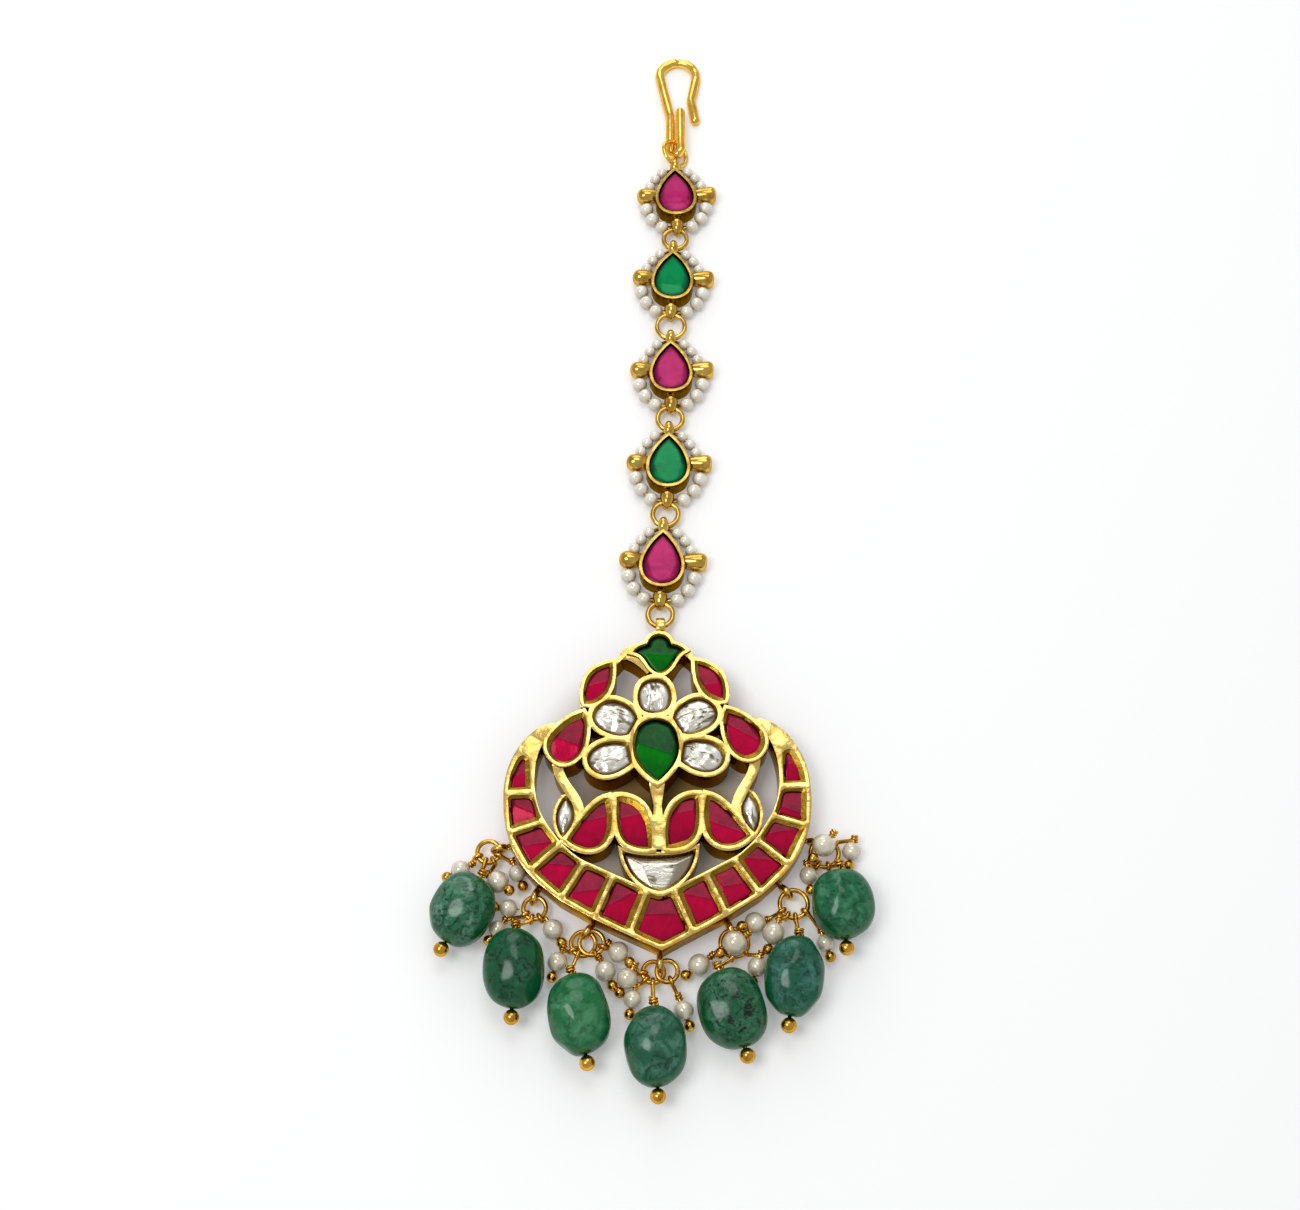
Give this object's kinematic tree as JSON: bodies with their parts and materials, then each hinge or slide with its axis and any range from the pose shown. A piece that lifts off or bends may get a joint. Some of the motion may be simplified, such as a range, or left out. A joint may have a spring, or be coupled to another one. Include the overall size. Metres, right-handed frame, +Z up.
{
  "type": "maang tikka",
  "caption": "Forehead jewel: a hook, a chain of pear-shaped jewelled links edged with seed pearls, and a crescent pendant of set stones with green beads and pearls hung below.",
  "frame": {"origin": "on the pendant's flat back, under its centre emerald", "axes": "+X to the right of the face, +Y along the chain towards the hook, +Z up through the stones, out of the face"},
  "size_m": [0.0547, 0.1592, 0.0066],
  "materials": {
    "pendant_gold": "polished yellow gold, hand-worked, a little uneven",
    "link_gold": "antique yellow gold with darker hollows",
    "wire_gold": "bright polished wire",
    "ruby": "polished, foil behind it, deep pinkish red",
    "emerald": "polished, foil behind it, deep green",
    "polki": "flat uncut diamond over silver foil",
    "pearl": "cream nacre",
    "emerald_bead": "polished green stone with dark and milky inclusions"
  },
  "bodies": {
    "root": {"centre_emerald": "emerald", "chain_ring_1": "wire_gold", "chain_ring_2": "wire_gold", "chain_ring_3": "wire_gold", "chain_ring_4": "wire_gold", "chain_ring_5": "wire_gold", "crescent_rubies": "ruby", "drop_findings_1": "wire_gold", "drop_findings_2": "wire_gold", "drop_findings_3": "wire_gold", "drop_findings_4": "wire_gold", "drop_findings_5": "wire_gold", "drop_findings_6": "wire_gold", "drop_findings_7": "wire_gold", "drop_pearls_1": "pearl", "drop_pearls_2": "pearl", "drop_pearls_3": "pearl", "drop_pearls_4": "pearl", "drop_pearls_5": "pearl", "drop_pearls_6": "pearl", "drop_pearls_7": "pearl", "emerald_bead_1": "emerald_bead", "emerald_bead_2": "emerald_bead", "emerald_bead_3": "emerald_bead", "emerald_bead_4": "emerald_bead", "emerald_bead_5": "emerald_bead", "emerald_bead_6": "emerald_bead", "emerald_bead_7": "emerald_bead", "fan_polki": "polki", "hook": "wire_gold", "hook_ring": "wire_gold", "leaf_polki_left": "polki", "leaf_polki_right": "polki", "link_pearls_1": "pearl", "link_pearls_2": "pearl", "link_pearls_3": "pearl", "link_pearls_4": "pearl", "link_pearls_5": "pearl", "link_setting_1": "link_gold", "link_setting_2": "link_gold", "link_setting_3": "link_gold", "link_setting_4": "link_gold", "link_setting_5": "link_gold", "link_stone_1": "ruby", "link_stone_2": "emerald", "link_stone_3": "ruby", "link_stone_4": "emerald", "link_stone_5": "ruby", "lotus_rubies": "ruby", "pendant_frame": "pendant_gold", "petal_polki_1": "polki", "petal_polki_2": "polki", "petal_polki_3": "polki", "petal_polki_4": "polki", "petal_polki_5": "polki", "side_ruby_left": "ruby", "side_ruby_right": "ruby", "top_emerald": "emerald", "upper_ruby_left": "ruby", "upper_ruby_right": "ruby"}
  },
  "joints": []
}
